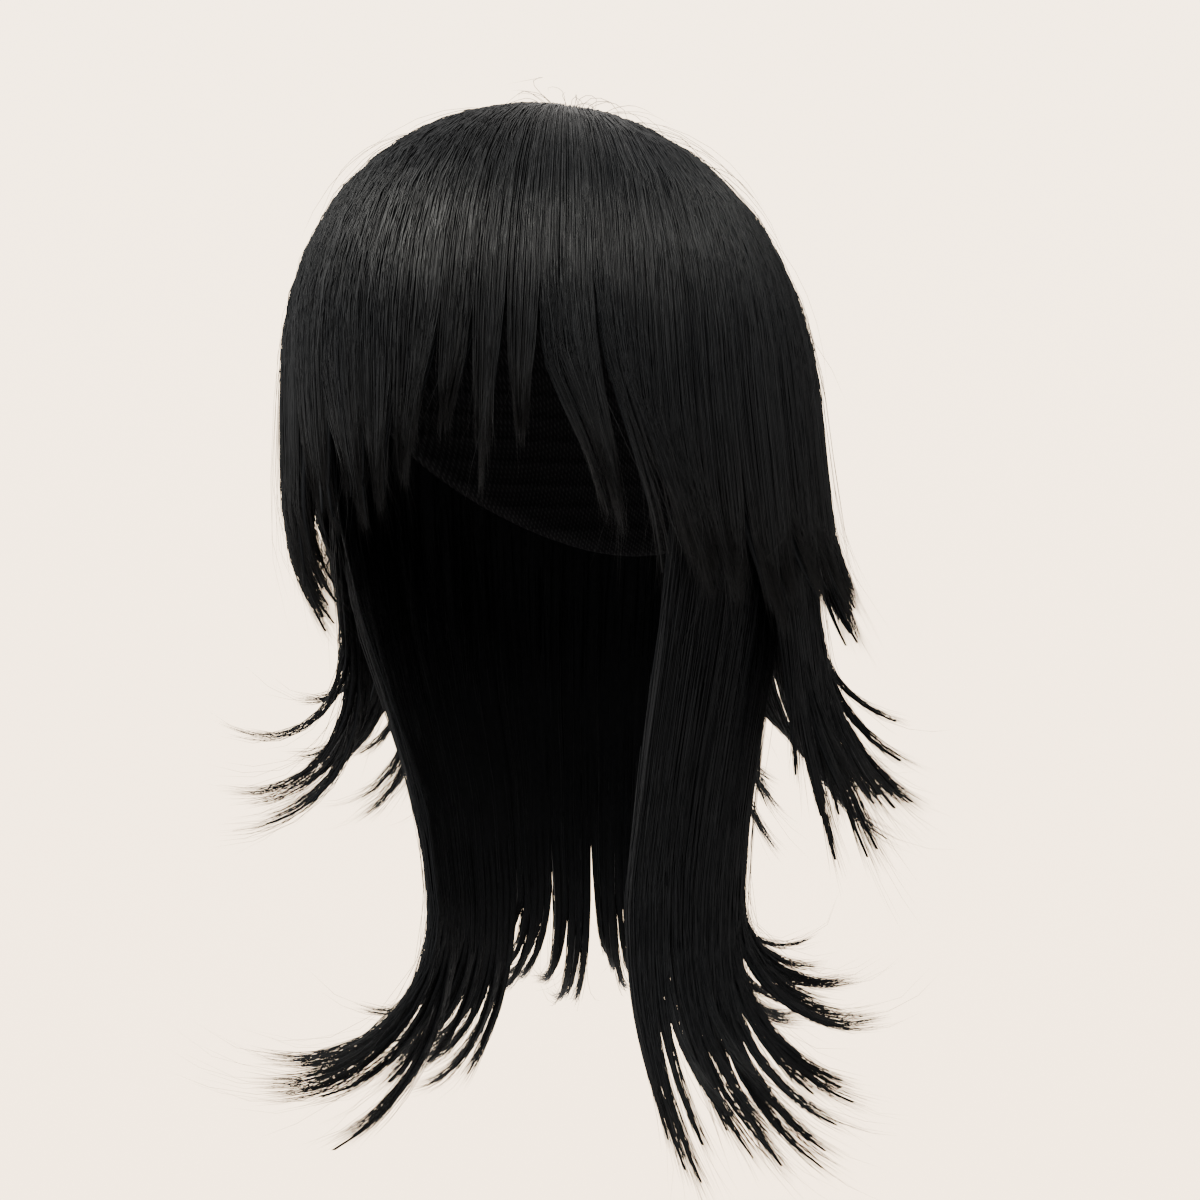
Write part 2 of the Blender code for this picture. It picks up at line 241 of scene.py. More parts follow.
# How the strands of a tier are shared out among its nodes
TOP_SHARES = {"fringe": 0.23, "side_hair_left": 0.26, "side_hair_right": 0.25, "back_hair": 0.26}
MID_NODES = ("mid_hair_left", "mid_hair_right", "mid_hair_back")
NAPE_NODES = ("nape_hair_left", "nape_hair_right", "nape_hair_back")

# A lock lies between its own parting and the next row's, and places round the form are in degrees from
# the front towards the left: root at the roots, edge at the parting and tip at the end. part and reach
# are shares of the tier's length, and curl is how many degrees the end turns outward.
Lock = namedtuple("Lock", "node root edge part tip reach curl")
TOP_LOCKS = (
    Lock("fringe", -34, -34, 0.66, -24, 0.830, -8),
    Lock("fringe", -22, -23, 0.62, -13, 0.830, -4),
    Lock("fringe", -12, -13, 0.62, -9, 0.815, -8),
    Lock("fringe", -4, -4, 0.58, -3, 0.785, -6),
    Lock("fringe", 5, 6, 0.54, 6, 0.720, -4),
    Lock("fringe", 11, 12, 0.57, 13, 0.775, 0),
    Lock("fringe", 18, 18, 0.54, 20, 0.735, 0),
    Lock("fringe", 24, 24, 0.56, 37, 0.860, -4),
    Lock("fringe", 33, 34, 0.50, 46, 0.880, -4),
    Lock("side_hair_left", 38, 38, 0.52, 55, 0.945, -14),
    Lock("side_hair_left", 50, 53, 0.72, 60, 0.940, 6),
    Lock("side_hair_left", 62, 65, 0.76, 71, 0.985, 10),
    Lock("side_hair_left", 76, 79, 0.78, 84, 0.960, 16),
    Lock("side_hair_left", 92, 94, 0.76, 98, 1.000, 20),
    Lock("side_hair_left", 108, 109, 0.76, 116, 0.970, 22),
    Lock("back_hair", 124, 124, 0.76, 131, 1.010, 20),
    Lock("back_hair", 138, 138, 0.76, 143, 0.975, 24),
    Lock("back_hair", 152, 152, 0.78, 158, 1.020, 18),
    Lock("back_hair", 166, 166, 0.76, 171, 0.985, 22),
    Lock("back_hair", 180, 180, 0.78, 186, 1.025, 18),
    Lock("back_hair", 194, 194, 0.76, 200, 0.980, 22),
    Lock("back_hair", 208, 208, 0.78, 213, 1.010, 20),
    Lock("back_hair", 222, 222, 0.76, 226, 0.975, 22),
    Lock("side_hair_right", 236, 236, 0.76, 241, 1.000, 18),
    Lock("side_hair_right", 251, 251, 0.76, 254, 0.965, 16),
    Lock("side_hair_right", 266, 266, 0.74, 270, 0.990, -12),
    Lock("side_hair_right", 281, 281, 0.68, 290, 0.980, -28),
    Lock("side_hair_right", 297, 298, 0.66, 309, 1.000, -32),
    Lock("side_hair_right", 312, 314, 0.66, 322, 0.900, -6),
    Lock(None, 326, 326, 0.66, None, None, None),
)
MID_LOCKS = (
    Lock("mid_hair_left", 78, 80, 0.66, 86, 0.980, 8),
    Lock("mid_hair_left", 90, 91, 0.62, 95, 1.000, 14),
    Lock("mid_hair_left", 101, 102, 0.60, 108, 0.985, 32),
    Lock("mid_hair_left", 113, 114, 0.64, 119, 0.980, 40),
    Lock("mid_hair_left", 125, 126, 0.62, 130, 0.985, 34),
    Lock("mid_hair_back", 138, 138, 0.64, 145, 1.010, 52),
    Lock("mid_hair_back", 151, 151, 0.62, 157, 0.950, 58),
    Lock("mid_hair_back", 164, 164, 0.64, 170, 1.020, 50),
    Lock("mid_hair_back", 177, 177, 0.62, 184, 0.960, 56),
    Lock("mid_hair_back", 190, 190, 0.64, 197, 1.010, 50),
    Lock("mid_hair_back", 203, 203, 0.62, 208, 0.950, 58),
    Lock("mid_hair_right", 216, 216, 0.64, 222, 1.000, 56),
    Lock("mid_hair_right", 229, 229, 0.62, 236, 0.955, 64),
    Lock("mid_hair_right", 242, 242, 0.60, 248, 0.990, 58),
    Lock("mid_hair_right", 255, 255, 0.62, 261, 0.945, 72),
    Lock("mid_hair_right", 268, 267, 0.60, 273, 1.040, 84),
    Lock(None, 282, 280, 0.60, None, None, None),
)
NAPE_LOCKS = (
    Lock("nape_hair_left", 66, 40, 0.74, 52, 0.950, 24),
    Lock("nape_hair_left", 78, 56, 0.70, 68, 0.965, 38),
    Lock("nape_hair_left", 90, 73, 0.72, 84, 0.980, 50),
    Lock("nape_hair_left", 102, 90, 0.70, 100, 0.965, 60),
    Lock("nape_hair_left", 114, 107, 0.68, 116, 0.915, 76),
    Lock("nape_hair_back", 126, 124, 0.68, 132, 0.890, 76),
    Lock("nape_hair_back", 140, 140, 0.70, 148, 0.930, 66),
    Lock("nape_hair_back", 154, 156, 0.70, 164, 0.895, 62),
    Lock("nape_hair_back", 168, 172, 0.70, 180, 0.940, 58),
    Lock("nape_hair_back", 182, 188, 0.70, 194, 0.900, 62),
    Lock("nape_hair_back", 196, 204, 0.70, 211, 0.930, 66),
    Lock("nape_hair_back", 210, 220, 0.70, 228, 0.895, 70),
    Lock("nape_hair_right", 228, 236, 0.70, 244, 0.960, 62),
    Lock("nape_hair_right", 244, 252, 0.72, 258, 0.930, 66),
    Lock("nape_hair_right", 258, 268, 0.70, 274, 0.980, 62),
    Lock("nape_hair_right", 274, 284, 0.66, 288, 0.960, 86),
    Lock(None, 294, 300, 0.66, None, None, None),
)

# Studio, in metres
WALL_BEND = 0.9
WALL_TOP = 3.2
BEND_STEPS = 12
ROOM_STEPS = 96
ROOM_WELD = 0.0001
LAMP_AIM = (0.0, 0.0, -0.15)
Lamp = namedtuple("Lamp", "place size colour")
KEY_LAMP = Lamp(place=(-0.10, -1.10, 1.20), size=1.2, colour=(1.0, 0.975, 0.90))
SIDE_LAMP = Lamp(place=(-1.3, -0.9, 0.25), size=0.8, colour=(1.0, 0.97, 0.94))
NEAREST_VIEW = 0.01


# Form of the cap and of the tiers, worked out for whole arrays of places at once


def mix(low, high, share):
    return low + (high - low) * share


def unit(vectors):
    return vectors / np.maximum(np.linalg.norm(vectors, axis=-1, keepdims=True), LEAST_LENGTH)


def table_column(rows, at, column):
    """One column of a table, read at places along its first column."""
    return np.interp(at, [row[0] for row in rows], [getattr(row, column) for row in rows])


def form_points(angle, along, tier=None):
    """Points of the form, along metres from the whorl: a dome, and below it where a tier hangs."""
    angle, along = np.broadcast_arrays(angle, along)
    side, front = np.sin(angle), np.cos(angle)
    turn = along / CROWN_HEIGHT
    spread = np.sin(turn)
    dome = np.stack((FORM_WIDTH / 2 * spread * side,
                     WHORL_BACK * (1 - spread) - FORM_DEPTH / 2 * spread * front,
                     CROWN_HEIGHT * (np.cos(turn) - 1)), axis=-1)
    if tier is None:
        return dome
    drop = np.maximum(along - DOME, 0)
    wide, deep, back = (table_column(NARROWING, drop / HANG_DROP, name) for name in Section._fields[1:])
    hang = np.stack((FORM_WIDTH / 2 * mix(1, wide, tier.hug) * side,
                     FORM_DEPTH / 2 * (back * tier.lean - mix(1, deep, tier.hug) * front),
                     -CROWN_HEIGHT - drop), axis=-1)
    return np.where((along <= DOME)[..., None], dome, hang)


def form_normals(angle, along, tier=None):
    """Outward directions of the form, level below the dome, where hair hangs free."""
    angle, along = np.broadcast_arrays(angle, along)
    around = form_points(angle + ANGLE_STEP, along, tier) - form_points(angle - ANGLE_STEP, along, tier)
    down = form_points(angle, along + LENGTH_STEP, tier) - form_points(angle, along - LENGTH_STEP, tier)
    if tier is not None:
        down = np.where((along > DOME)[..., None], np.array((0.0, 0.0, -2 * LENGTH_STEP)), down)
    return unit(np.cross(unit(down), unit(around)))


def cap_rim(angle):
    """Turn of the cap's rim from the whorl, in radians: high on the forehead, low at the nape."""
    return np.radians(mix(CAP_FRONT_RIM, CAP_NAPE_RIM, (1 - np.cos(angle)) / 2))


def root_along(tier, angle):
    """How far from the whorl a tier's roots lie."""
    if tier.above_rim is None:
        return np.full_like(angle, CENTRE)
    return CROWN_HEIGHT * (cap_rim(angle) - math.radians(tier.above_rim))


def volume_at(tier, angle, along, root):
    """How far the tier's outer face stands off the form. The top tier is fuller at the front."""
    flare = tier.flare * np.maximum(0.0, along - DOME) / HANG_DROP
    if tier.above_rim is None:
        share = table_column(RISING, along / DOME, "volume")
        fuller = FRONT_FULLNESS * np.cos(angle) * np.sin(2 * np.minimum(along, DOME) / CROWN_HEIGHT)
        return mix(tier.root_volume, tier.volume, share) + fuller + flare
    share = np.clip((along - root) / (tier.length * ROOT_RISE), 0, 1)
    return mix(tier.root_volume, tier.volume, share) + flare


def curled(free, share, curl, start):
    """Outward and downward travel of free ends that hang straight, then turn along an arc."""
    straight = np.minimum(share, start) * free
    turned = np.maximum(0.0, share - start) / (1 - start)
    safe = np.where(np.abs(curl) < LEAST_CURL, LEAST_CURL, curl)
    radius = (1 - start) * free / safe
    return radius * (1 - np.cos(safe * turned)), straight + radius * np.sin(safe * turned)


Fall = namedtuple("Fall", "root_angle edge_angle tip_angle tuft_angle part reach curl")


class Tufts:
    """The tufts that one node's locks split into, each with an end of its own."""

    def __init__(self, tier, locks, node, each, random):
        self.tier, self.each = tier, each
        self.opening = OPENINGS.get(node) or OPENINGS[node.split("_")[0]]
        self.own = [(lock, after) for lock, after in zip(locks, locks[1:]) if lock.node == node]
        count = len(self.own) * each
        self.lock = np.arange(count) // each
        place = (np.arange(count) % each + 0.5) / each - 0.5
        shorter = np.abs(place) * TUFT_ARCH
        self.aside = place * self.opening.spread + random.normal(0, TUFT_ASIDE, count)
        self.reach = self.opening.longest - shorter - random.random(count) * TUFT_UNEVEN
        self.curl = self.opening.more + place * self.opening.fan + random.normal(0, TUFT_CURL, count)
        hanging = tier.above_rim is not None
        self.free_sides = (hanging and self.own[0][0] is locks[0], hanging and self.own[-1][1] is locks[-1])

    def column(self, name, tuft, across=None):
        """One column of the lock table, read for each tuft, at a share across its lock."""
        low = np.array([getattr(lock, name) for lock, after in self.own], dtype=float)[self.lock[tuft]]
        if across is None:
            return low
        high = np.array([getattr(after, name) for lock, after in self.own], dtype=float)[self.lock[tuft]]
        return mix(low, high, across)

    def inwards(self, tuft, across):
        """0 at a free side of the tier and 1 from one tuft's width inwards."""
        place = (tuft // self.each + across) * self.each
        low = place if self.free_sides[0] else 1.0
        high = len(self.lock) - place if self.free_sides[1] else 1.0
        return np.clip(np.minimum(low, high), 0, 1)

    def fall(self, tuft, across, aside=0.0, curl=0.0):
        """How hair falls that starts at a share across a lock and ends with a tuft. Angles in radians."""
        width = self.column("edge", tuft, 1.0) - self.column("edge", tuft)
        tip = self.column("tip", tuft)
        part = self.column("part", tuft, across)
        return Fall(
            root_angle=np.radians(self.column("root", tuft, across)),
            edge_angle=np.radians(self.column("edge", tuft, across)),
            tip_angle=np.radians(tip + (across - 0.5) * self.opening.spread * width),
            tuft_angle=np.radians(tip + (self.aside[tuft] + aside) * width),
            part=part,
            reach=mix(part, self.column("reach", tuft), self.reach[tuft]),
            curl=np.radians(self.column("curl", tuft) + self.curl[tuft] + curl),
        )


def fall_points(tufts, fall, body, tip, depth, lift=0.0, sway=0.0):
    """Points of falling hair: body is the share down to the parting, tip the share from there on.

    depth is 0 on the tier's outer face and 1 on its inner one. lift is extra metres outward, and sway
    extra radians round the form. Returns the points and the outward directions there.
    """
    tier, opening = tufts.tier, tufts.opening
    root = root_along(tier, fall.root_angle)
    part = tier.length * fall.part
    free = np.maximum(tier.length * fall.reach - part, SHORTEST_END)
    outward, fallen = curled(free, tip, fall.curl, tier.start)
    along = np.where(tip > 0, part + fallen, mix(root, part, body))
    angle = mix(fall.root_angle, fall.edge_angle, body)
    angle = mix(angle, fall.tip_angle, tip ** opening.lock)
    angle = mix(angle, fall.tuft_angle, tip ** opening.tuft) + sway
    volume = volume_at(tier, angle, along, root)
    thickness = mix(TIP_THICKNESS, tier.thickness, 1 - np.minimum(tip, 1))
    thickness = np.minimum(thickness, volume - CAP_WALL - SEAT)
    normal = form_normals(angle, along, tier)
    height = volume - thickness * depth + outward + lift
    return form_points(angle, along, tier) + normal * height[..., None], normal


# Shader maths as Python expressions


class Socket:
    """A node's output that takes part in expressions: each operator adds the Math node it stands for."""

    def __init__(self, tree, output):
        self.tree, self.output = tree, output

    def math(self, operation, *values):
        return self.tree.node("ShaderNodeMath", {"operation": operation}, dict(enumerate(values)))

    def __add__(self, other):
        return self.math("ADD", self, other)

    def __mul__(self, other):
        return self.math("MULTIPLY", self, other)

    def __pow__(self, other):
        return self.math("POWER", self, other)

    def __rpow__(self, other):
        return self.math("POWER", other, self)

    __radd__, __rmul__ = __add__, __mul__


class Shading:
    """A material's node tree with one Principled shader."""

    def __init__(self, name):
        self.material = bpy.data.materials.new(name)
        self.material.use_nodes = True
        self.nodes, self.links = self.material.node_tree.nodes, self.material.node_tree.links
        self.shader = self.nodes["Principled BSDF"]

    def put(self, socket, value):
        if isinstance(value, Socket):
            self.links.new(value.output, socket)
        else:
            socket.default_value = value

    def node(self, kind, settings=None, sockets=None, out=0):
        """Adds a node: its settings first, then its sockets' values or links."""
        made = self.nodes.new(kind)
        for key, value in (settings or {}).items():
            setattr(made, key, value)
        for key, value in (sockets or {}).items():
            self.put(made.inputs[key], value)
        return Socket(self, made.outputs[out])

    def colour_mix(self, share, low, high):
        settings = {"data_type": "RGBA"}
        return self.node("ShaderNodeMix", settings, {0: share, 6: low, 7: high}, out=2)

    def finish(self, sockets):
        """Sets or links the shader's own sockets."""
        for key, value in sockets.items():
            self.put(self.shader.inputs[key], value)
        return self.material


def hair_material(look):
    """Single strands: each has its own shade, and turns a little browner towards its tip."""
    paint = Shading("hair_strands")
    shade = paint.node("ShaderNodeAttribute", {"attribute_name": "shade"}, out="Fac")
    along = paint.node("ShaderNodeAttribute", {"attribute_name": "along"}, out="Fac")
    colour = paint.colour_mix(shade, (*look.hair_dark, 1), (*look.hair_light, 1))
    colour = paint.colour_mix(along ** TIP_LATENESS * TIP_BLEND, colour, (*look.hair_tip, 1))
    return paint.finish({
        "Base Color": colour,
        "Roughness": look.hair_roughness + shade * SHADE_ROUGHNESS,
        "Specular IOR Level": look.hair_gloss,
    })


def mass_material(look):
    """The mass of hair under the strands: dark, with fine streaks that run down each blade."""
    paint = Shading("hair_mass")
    place = paint.node("ShaderNodeUVMap", {"uv_map": "fall"})

    def noise(scale, detail):
        stretched = paint.node("ShaderNodeMapping", None, {"Vector": place, "Scale": scale})
        sockets = {"Vector": stretched, "Scale": 1.0, "Detail": detail}
        return paint.node("ShaderNodeTexNoise", None, sockets)

    streaks = noise(scale=(70.0, 3.0, 1.0), detail=3.0)
    bands = noise(scale=(14.0, 1.5, 1.0), detail=2.0)
    height = streaks * STREAK_RELIEF + bands * BAND_RELIEF
    relief = paint.node("ShaderNodeBump", None, {"Strength": 0.8, "Distance": 0.0008, "Height": height})
    return paint.finish({
        "Base Color": paint.colour_mix(streaks, (*look.hair_dark, 1), (*look.hair_light, 1)),
        "Roughness": look.hair_roughness + MASS_ROUGHNESS + streaks * STREAK_ROUGHNESS,
        "Specular IOR Level": look.hair_gloss * MASS_GLOSS,
        "Normal": relief,
    })


def cap_material(look):
    """Stretch net: fine crossed yarns, and rows of wefts as raised bands."""
    paint = Shading("cap_net")
    place = paint.node("ShaderNodeTexCoord", out="Object")

    def bands(direction, scale, distortion):
        settings = {"wave_type": "BANDS", "bands_direction": direction}
        sockets = {"Vector": place, "Scale": scale, "Distortion": distortion}
        return paint.node("ShaderNodeTexWave", settings, sockets)

    wefts = bands("Z", scale=34.0, distortion=0.4)
    yarn = bands("X", scale=260.0, distortion=0.3)
    cross = bands("DIAGONAL", scale=230.0, distortion=0.3)
    height = wefts ** WEFT_SHARPNESS + (yarn + cross) * YARN_RELIEF
    relief = paint.node("ShaderNodeBump", None, {"Strength": 0.7, "Distance": 0.0007, "Height": height})
    return paint.finish({
        "Base Color": paint.colour_mix(yarn * cross, (*look.net_dark, 1), (*look.net_light, 1)),
        "Roughness": NET_ROUGHNESS + wefts * WEFT_ROUGHNESS,
        "Specular IOR Level": 0.08,
        "Normal": relief,
    })


def backdrop_material(studio):
    """Plain cream plaster that glows, with painted shade that makes it a little darker towards the floor, and
    faint clouds.
    """
    paint = Shading("studio_backdrop")
    place = paint.node("ShaderNodeTexCoord", out="Object")
    clouds = paint.node("ShaderNodeTexNoise", None, {"Vector": place, "Scale": 0.5, "Detail": 2.0})
    height = paint.node("ShaderNodeSeparateXYZ", None, {"Vector": place}, out="Z")
    # Painted shade: the backdrop's glowing colour is mixed darker towards the floor, with faint clouds over
    # it
    high = paint.node("ShaderNodeMapRange", None, {"Value": height, "From Min": -1.3, "From Max": 1.5})
    share = high * PAINTED_WALL_SHADE + clouds * WALL_CLOUDS
    colour = paint.colour_mix(share, (*studio.wall_shaded, 1), (*studio.wall_high, 1))
    return paint.finish({
        "Base Color": (0.0, 0.0, 0.0, 1.0),
        "Specular IOR Level": 0.0,
        "Emission Color": colour,
        "Emission Strength": studio.wall_glow,
    })


# Pieces


def add_piece(name, mesh, material, node):
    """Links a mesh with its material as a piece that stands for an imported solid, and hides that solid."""
    mesh.materials.append(material)
    piece = bpy.data.objects.new(name, mesh)
    bpy.context.scene.collection.objects.link(piece)
    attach(piece, "root")
    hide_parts(node)


def add_sheet(shape, inner, columns, rows, place, uv=None, aside=0):
    """Adds one grid to a mesh and puts it where place(across, down, depth) says, outside and inside."""
    grid = bmesh.ops.create_grid(shape, x_segments=columns, y_segments=rows, size=0.5)["verts"]
    share = np.array([(vertex.co.x + 0.5, vertex.co.y + 0.5) for vertex in grid])
    outside, inside = (place(share[:, 0], share[:, 1], depth) for depth in (0.0, 1.0))
    for vertex, (across, down), outer, lower in zip(grid, share, outside, inside):
        vertex.co = outer
        vertex[inner] = lower
        if uv:
            for loop in vertex.link_loops:
                loop[uv].uv = (across + aside, down)


def thicken(shape, inner):
    """Welds shared edges and closes the sheet with an inner face at the stored points."""
    bmesh.ops.remove_doubles(shape, verts=shape.verts, dist=WELD)
    made = bmesh.ops.extrude_face_region(shape, geom=shape.faces[:], use_keep_orig=True)
    for item in made["geom"]:
        if isinstance(item, bmesh.types.BMVert):
            item.co = item[inner]
    bmesh.ops.recalc_face_normals(shape, faces=shape.faces)


def mesh_of(shape, name):
    """Makes a smooth mesh, its edges and faces ordered by their points so that each run gives the same."""
    shape.verts.index_update()
    count = len(shape.verts)

    def place(item):
        number = 0
        for index in sorted(vertex.index for vertex in item.verts)[:3]:
            number = number * count + index
        return number

    shape.edges.sort(key=place)
    shape.faces.sort(key=place)
    mesh = bpy.data.meshes.new(name)
    shape.to_mesh(mesh)
    shape.free()
    mesh.shade_smooth()
    return mesh


def build_cap(look):
    """The stretch cap as one smooth dome."""
    shape = bmesh.new()
    inner = shape.verts.layers.float_vector.new("inner")

    def place(across, down, depth):
        angle = 2 * math.pi * across
        along = np.maximum(CROWN_HEIGHT * cap_rim(angle) * down, CENTRE)
        lift = CAP_WALL * (1 - depth)
        return form_points(angle, along) + form_normals(angle, along) * lift

    add_sheet(shape, inner, CAP_COLUMNS, CAP_ROWS, place)
    thicken(shape, inner)
    add_piece("wig_cap", mesh_of(shape, "wig_cap"), cap_material(look), "cap")


def build_mass(node, tufts, material, look):
    """The mass of one node's hair: a blade for each tuft, whole down to where the locks part."""
    shape = bmesh.new()
    inner = shape.verts.layers.float_vector.new("inner")
    uv = shape.loops.layers.uv.new("fall")
    for tuft in range(len(tufts.lock)):

        def place(across, down, depth, tuft=tuft):
            body = np.minimum(down / BODY_SHARE, 1.0)
            tip = np.maximum((down - BODY_SHARE) / (1 - BODY_SHARE), 0.0) * look.mass_reach
            narrowed = 0.5 + (across - 0.5) * (1 - BLADE_NARROWING * tip)
            over = (tuft % tufts.each + narrowed) / tufts.each
            fall = tufts.fall(np.full(len(across), tuft), over)
            outer = mix(MASS_BODY_DEPTH, look.mass_depth, tip)
            outer = mix(MASS_SIDE_DEPTH, outer, tufts.inwards(tuft, over) ** SIDE_FADE)
            return fall_points(tufts, fall, body, tip, mix(outer, 1.0, depth))[0]

        add_sheet(shape, inner, TUFT_COLUMNS, TUFT_ROWS, place, uv, tuft)
    thicken(shape, inner)
    add_piece(f"{node}_mass", mesh_of(shape, f"{node}_mass"), material, node)


def strand_form(segments):
    """One strand: a closed three-sided spike, cut across so that it can bend.

    Returns the ring that each vertex lies in, its corner there and the faces.
    """
    shape = bmesh.new()
    bmesh.ops.create_cone(shape, cap_ends=True, segments=3, radius1=1, radius2=0, depth=1)
    for cut in range(1, segments):
        height = cut / segments - 0.5
        parts = shape.verts[:] + shape.edges[:] + shape.faces[:]
        bmesh.ops.bisect_plane(shape, geom=parts, plane_co=(0, 0, height), plane_no=(0, 0, 1))
    shape.verts.index_update()
    points = np.array([vertex.co[:] for vertex in shape.verts])
    faces = [[vertex.index for vertex in face.verts] for face in shape.faces]
    shape.free()
    ring = np.rint((points[:, 2] + 0.5) * segments).astype(int)
    corner = np.where(ring[:, None] < segments, unit(points[:, :2]), 0.0)
    return ring, corner, faces


def strand_mesh(name, path, normal, radius, shade):
    """Joins strands into one mesh: path and normal hold a point and a direction for each ring."""
    count, segments = len(path), path.shape[1] - 1
    ring, corner, faces = strand_form(segments)
    tangent = np.gradient(path, axis=1)
    side = unit(np.cross(tangent, normal))
    up = unit(np.cross(side, tangent))
    width = radius[:, ring, None]
    points = path[:, ring] + (side[:, ring] * corner[:, :1] + up[:, ring] * corner[:, 1:]) * width
    corners = np.concatenate([np.array(face) for face in faces])
    sizes = np.array([len(face) for face in faces])
    loops = (corners[None, :] + len(ring) * np.arange(count)[:, None]).ravel()
    starts = np.concatenate(([0], np.cumsum(np.tile(sizes, count))[:-1]))

    mesh = bpy.data.meshes.new(name)
    mesh.vertices.add(count * len(ring))
    mesh.vertices.foreach_set("co", points.astype(np.float32).ravel())
    mesh.loops.add(len(loops))
    mesh.loops.foreach_set("vertex_index", loops.astype(np.int32))
    mesh.polygons.add(count * len(faces))
    mesh.polygons.foreach_set("loop_start", starts.astype(np.int32))
    mesh.update(calc_edges=True)
    values = {"shade": np.repeat(shade, len(ring)), "along": np.tile(ring / segments, count)}
    for key, value in values.items():
        mesh.attributes.new(key, "FLOAT", "POINT").data.foreach_set("value", value.astype(np.float32))
    mesh.shade_smooth()
    return mesh


def kept_share(path, rings):
    """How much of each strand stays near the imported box, as a share of its run."""
    low, high = (np.array(corner) for corner in CAD_BOX)
    spare = (high - low) * BOX_SHARE + BOX_SPARE
    near = ((path > low - spare) & (path < high + spare)).all(axis=-1)
    last = np.maximum(np.argmin(near, axis=1) - 1, 1)
    return np.where(near.all(axis=1), 1.0, rings[0][last])


def strand_paths(tufts, count, hair, random):
    """How one node's strands run, which start all over the tier and gather into tufts.

    Returns their points, the outward directions there, their half widths and their shades.
    """
    tier, opening = tufts.tier, tufts.opening
    width = np.array([after.edge - lock.edge for lock, after in tufts.own], dtype=float)
    across = random.random(count)
    tuft = random.choice(len(width), count, p=width / width.sum()) * tufts.each
    tuft = tuft + np.minimum((across * tufts.each).astype(int), tufts.each - 1)
    stray = random.random(count) < hair.stray_share
    loose = np.where(stray, 1.0, 0.0)
    wisp = random.random(count) < hair.wisp_share
    fall = tufts.fall(
        tuft, across,
        aside=random.normal(0, STRAND_ASIDE, count) + loose * random.normal(0, STRAY_ASIDE, count),
        curl=random.normal(0, STRAND_CURL, count) + loose * random.normal(0, STRAY_CURL, count),
    )
    fall = Fall(*(column[:, None] for column in fall))

    root = root_along(tier, fall.root_angle)[:, 0]
    part = tier.length * fall.part[:, 0]
    free = np.maximum(tier.length * fall.reach[:, 0] - part, SHORTEST_END)
    grown = STRAND_REACH - np.abs(random.normal(0, STRAND_UNEVEN, count))
    grown = grown + wisp * random.uniform(*WISP_REACH, count)
    if tier.above_rim is None:
        out = random.random(count) ** CROWN_PACKING * CROWN_STARTS
        begin = np.maximum(CROWN_HEIGHT * np.arcsin(out), root)
    else:
        begin = mix(root, part, random.random(count) * HANGING_SPREAD + HANGING_STARTS)
    rings = np.linspace(0, 1, opening.segments + 1)[None, :] ** opening.bunch
    flyaway = random.random(count) < hair.flyaway_share
    run = np.where(flyaway, random.uniform(*FLYAWAY_LENGTH, count), part + free * grown - begin)

    inside = random.random(count) < hair.inner_share
    deepest = mix(MASS_SIDE_DEPTH, hair.outer_depth, tufts.inwards(tuft, across))
    depth = np.where(inside, random.uniform(*INNER_DEPTH, count), random.uniform(PROUD, deepest, count))
    buried = np.where(inside, 0.0, BURIED)[:, None] * (1 - np.clip(rings * BURIED_FADE, 0, 1))
    lift = np.abs(random.normal(0, STRAND_LIFT, count)) + loose * random.uniform(0.0, hair.stray_lift, count)
    lift = np.where(inside, 0.0, lift)[:, None] * rings ** LIFT_LATENESS
    rise = random.uniform(FLYAWAY_LIFT, FLYAWAY_SHARE * hair.stray_lift, count)
    rise = np.where(flyaway, rise, 0.0)[:, None]
    lift = lift + rise * np.sin(rings * math.pi * FLYAWAY_TURN)
    wave = np.where(flyaway, FLYAWAY_WAVE, random.normal(0, STRAND_WAVE, count))
    wave = wave[:, None] * (1 + STRAY_WAVE * loose[:, None])
    phase = random.uniform(0, 2 * math.pi, count)[:, None]
    sway = wave * np.sin(phase + rings * WAVE_TURN) * rings * (1 - WAVE_FADE * rings)

    def lay(run):
        """Points and outward directions of strands of a given run."""
        travel = begin[:, None] + run[:, None] * rings
        body = np.clip((travel - root[:, None]) / (part - root)[:, None], 0, 1)
        tip = np.maximum((travel - part[:, None]) / free[:, None], 0)
        arch = (travel[:, 1:2] - travel[:, :1]) ** 2 / (8 * CROWN_HEIGHT) * ARCH_SHARE
        arched = lift + np.where(travel < DOME, arch, 0.0)
        return fall_points(tufts, fall, body, tip, depth[:, None] + buried, arched, sway)

    path = lay(run)[0]
    path, normal = lay(run * kept_share(path, rings))

    taper = np.interp(rings[0], TAPER_PLACES, TAPER_WIDTHS)
    radius = hair.strand_width / 2 * random.uniform(*STRAND_WIDTHS, count)
    radius *= np.where(stray | flyaway | wisp, FINE_WIDTH, 1.0)
    shade = random.normal(SHADE_MIDDLE, SHADE_SPREAD, count) + (tuft % TUFT_SHADES) * TUFT_SHADE_STEP
    return path, normal, radius[:, None] * taper, np.clip(shade, 0, 1)


def build_tier(tier, locks, counts, scene):
    """Every node of a tier: its mass of blades, and the strands over it."""
    look, hair = scene.wig_look, scene.wig_hair
    mass, strands = mass_material(look), hair_material(look)
    for number, (node, count) in enumerate(counts.items()):
        random = np.random.default_rng(tier.seed + number)
        tufts = Tufts(tier, locks, node, hair.tufts, random)
        build_mass(node, tufts, mass, look)
        path, normal, radius, shade = strand_paths(tufts, count, hair, random)
        mesh = strand_mesh(f"{node}_strands", path, normal, radius, shade)
        add_piece(f"{node}_strands", mesh, strands, node)


def evenly(total, nodes):
    """Shares strands out evenly among nodes."""
    return {node: total // len(nodes) for node in nodes}


# Sizes and colours that a user would change


